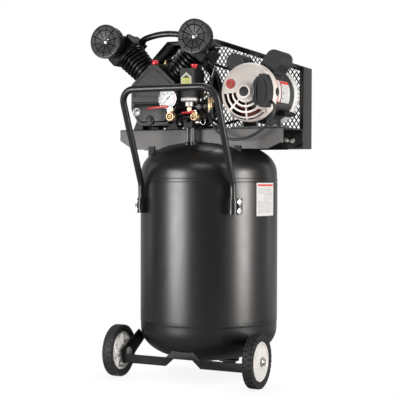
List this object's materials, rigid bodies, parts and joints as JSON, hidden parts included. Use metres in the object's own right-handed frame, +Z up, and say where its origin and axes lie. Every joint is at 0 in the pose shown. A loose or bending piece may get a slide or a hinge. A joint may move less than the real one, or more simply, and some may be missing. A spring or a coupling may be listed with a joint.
{
  "type": "vertical tank compressor",
  "caption": "Upright air compressor: steel receiver on wheels and a rear foot, belt-driven V pump and electric motor on a deck, guard, controls and pull handle",
  "frame": {"origin": "on the ground, at the middle of the overall footprint, wheels and rear foot resting on z = 0", "axes": "+Z up; +X towards the motor side; -Y towards the handle and wheels, +Y towards the belt guard and rear foot"},
  "size_m": [0.673, 0.557, 1.1654],
  "materials": {
    "air_filter_left": "black, fine grain",
    "air_filter_right": "black, fine grain",
    "axle_bolt_left": "zinc plated",
    "axle_bolt_right": "zinc plated",
    "ball_valve_body_left": "bare brass",
    "ball_valve_body_right": "bare brass",
    "ball_valve_lever_left": "gloss red",
    "ball_valve_lever_right": "gloss red",
    "belt_guard_frame": "satin black powder coat",
    "belt_guard_mesh": "satin black powder coat",
    "capacitor_cover_left": "black, fine grain",
    "capacitor_cover_right": "black, fine grain",
    "connecting_rod_left": "die cast, bare",
    "connecting_rod_right": "die cast, bare",
    "crankcase": "black enamelled casting",
    "crankcase_cover": "black enamelled casting",
    "crankshaft": "machined steel",
    "cylinder_head_left": "black enamelled casting",
    "cylinder_head_right": "black enamelled casting",
    "cylinder_left": "black enamelled casting",
    "cylinder_right": "black enamelled casting",
    "deck_channel": "satin black powder coat",
    "discharge_tube": "bare brass",
    "drain_valve_body": "bare brass",
    "drain_valve_knob": "bare brass",
    "flywheel": "black enamelled casting",
    "gauge_case": "bright plated",
    "gauge_needle": "black, fine grain",
    "handle_bracket_left": "satin black powder coat",
    "handle_bracket_right": "satin black powder coat",
    "handle_tube": "satin black powder coat",
    "interconnect_tube": "satin black powder coat",
    "manifold_block": "satin black powder coat",
    "motor_front_bell": "die cast, bare",
    "motor_pulley": "bare machined iron",
    "motor_rear_bell": "die cast, bare",
    "motor_rotor": "machined steel",
    "motor_shell": "satin black",
    "motor_stator": "varnished windings on laminations",
    "oil_filler_cap": "gloss red",
    "piston_left": "die cast, bare",
    "piston_right": "die cast, bare",
    "pressure_switch": "black, fine grain",
    "pressure_switch_knob": "gloss red",
    "rear_foot_pad": "matte black rubber",
    "rear_foot_strap": "satin black powder coat",
    "regulator_body": "zinc plated",
    "regulator_knob": "bright plated",
    "reset_button": "gloss red",
    "safety_valve_body": "bare brass",
    "safety_valve_ring": "zinc plated",
    "sight_glass": "clear window in a bright ring",
    "tank_shell": "satin black powder coat",
    "terminal_cover": "black, fine grain",
    "v_belt": "matte black rubber",
    "wheel_frame": "satin black powder coat",
    "wheel_hub_left": "light grey moulded",
    "wheel_hub_right": "light grey moulded",
    "wheel_tyre_left": "matte black tread",
    "wheel_tyre_right": "matte black tread"
  },
  "bodies": {
    "chassis": {"air_filter_left": "air_filter_left", "air_filter_right": "air_filter_right", "axle_bolt_left": "axle_bolt_left", "axle_bolt_right": "axle_bolt_right", "ball_valve_body_left": "ball_valve_body_left", "ball_valve_body_right": "ball_valve_body_right", "belt_guard_frame": "belt_guard_frame", "belt_guard_mesh": "belt_guard_mesh", "capacitor_cover_left": "capacitor_cover_left", "capacitor_cover_right": "capacitor_cover_right", "crankcase": "crankcase", "crankcase_cover": "crankcase_cover", "cylinder_head_left": "cylinder_head_left", "cylinder_head_right": "cylinder_head_right", "cylinder_left": "cylinder_left", "cylinder_right": "cylinder_right", "deck_channel": "deck_channel", "discharge_tube": "discharge_tube", "drain_valve_body": "drain_valve_body", "gauge_case": "gauge_case", "handle_bracket_left": "handle_bracket_left", "handle_bracket_right": "handle_bracket_right", "handle_tube": "handle_tube", "interconnect_tube": "interconnect_tube", "manifold_block": "manifold_block", "motor_front_bell": "motor_front_bell", "motor_rear_bell": "motor_rear_bell", "motor_shell": "motor_shell", "motor_stator": "motor_stator", "oil_filler_cap": "oil_filler_cap", "pressure_switch": "pressure_switch", "rear_foot_pad": "rear_foot_pad", "rear_foot_strap": "rear_foot_strap", "regulator_body": "regulator_body", "safety_valve_body": "safety_valve_body", "sight_glass": "sight_glass", "tank_shell": "tank_shell", "terminal_cover": "terminal_cover", "v_belt": "v_belt", "wheel_frame": "wheel_frame"},
    "wheel_left": {"wheel_tyre_left": "wheel_tyre_left", "wheel_hub_left": "wheel_hub_left"},
    "wheel_right": {"wheel_tyre_right": "wheel_tyre_right", "wheel_hub_right": "wheel_hub_right"},
    "crank": {"crankshaft": "crankshaft", "flywheel": "flywheel"},
    "motor_drive": {"motor_rotor": "motor_rotor", "motor_pulley": "motor_pulley"},
    "piston_set_left": {"piston_left": "piston_left", "connecting_rod_left": "connecting_rod_left"},
    "piston_set_right": {"piston_right": "piston_right", "connecting_rod_right": "connecting_rod_right"},
    "valve_lever_left": {"ball_valve_lever_left": "ball_valve_lever_left"},
    "valve_lever_right": {"ball_valve_lever_right": "ball_valve_lever_right"},
    "regulator_screw": {"regulator_knob": "regulator_knob"},
    "switch_pull": {"pressure_switch_knob": "pressure_switch_knob"},
    "reset_push": {"reset_button": "reset_button"},
    "needle": {"gauge_needle": "gauge_needle"},
    "safety_pull": {"safety_valve_ring": "safety_valve_ring"},
    "drain_screw": {"drain_valve_knob": "drain_valve_knob"}
  },
  "joints": [
    {"name": "wheel_left_spin", "type": "hinge", "parent": "chassis", "child": "wheel_left", "pos_m": [-0.21205, -0.12297, 0.085], "axis": [1, 0, 0], "continuous": true},
    {"name": "wheel_right_spin", "type": "hinge", "parent": "chassis", "child": "wheel_right", "pos_m": [0.27995, -0.12297, 0.085], "axis": [1, 0, 0], "continuous": true},
    {"name": "crank_spin", "type": "hinge", "parent": "chassis", "child": "crank", "pos_m": [-0.11605, 0.17903, 0.945], "axis": [0, 1, 0], "continuous": true},
    {"name": "motor_spin", "type": "hinge", "parent": "chassis", "child": "motor_drive", "pos_m": [0.22745, 0.17903, 0.926], "axis": [0, 1, 0], "continuous": true},
    {"name": "piston_left_slide", "type": "slide", "parent": "chassis", "child": "piston_set_left", "axis": [-0.7071, 0, 0.7071], "range_m": [-0.0382, 0.0077]},
    {"name": "piston_right_slide", "type": "slide", "parent": "chassis", "child": "piston_set_right", "axis": [0.7071, 0, 0.7071], "range_m": [-0.0382, 0.0077]},
    {"name": "valve_lever_left_turn", "type": "hinge", "parent": "chassis", "child": "valve_lever_left", "pos_m": [-0.00455, -0.15497, 0.8755], "axis": [0, 0, 1], "range_deg": [0, 90]},
    {"name": "valve_lever_right_turn", "type": "hinge", "parent": "chassis", "child": "valve_lever_right", "pos_m": [0.07995, -0.15497, 0.869], "axis": [0, 0, 1], "range_deg": [-80, 10]},
    {"name": "regulator_knob_turn", "type": "hinge", "parent": "chassis", "child": "regulator_screw", "pos_m": [0.05345, -0.14197, 0.8976], "axis": [0, 0, 1], "range_deg": [-360, 360]},
    {"name": "pressure_switch_pull", "type": "slide", "parent": "chassis", "child": "switch_pull", "axis": [0, 0, 1], "range_m": [0, 0.004]},
    {"name": "reset_button_push", "type": "slide", "parent": "chassis", "child": "reset_push", "axis": [0, 1, 0], "range_m": [0, 0.003]},
    {"name": "gauge_needle_turn", "type": "hinge", "parent": "chassis", "child": "needle", "pos_m": [-0.02605, -0.13747, 0.9085], "axis": [0, 1, 0], "range_deg": [0, 270]},
    {"name": "safety_ring_pull", "type": "slide", "parent": "chassis", "child": "safety_pull", "axis": [1, 0, 0], "range_m": [0, 0.004]},
    {"name": "drain_knob_turn", "type": "hinge", "parent": "chassis", "child": "drain_screw", "pos_m": [0.03395, 0.05003, 0.028], "axis": [0, 0, 1], "range_deg": [0, 360]}
  ],
  "couplings": [
    {"joint": "motor_spin", "follows": "crank_spin", "ratio": 3.1928}
  ]
}
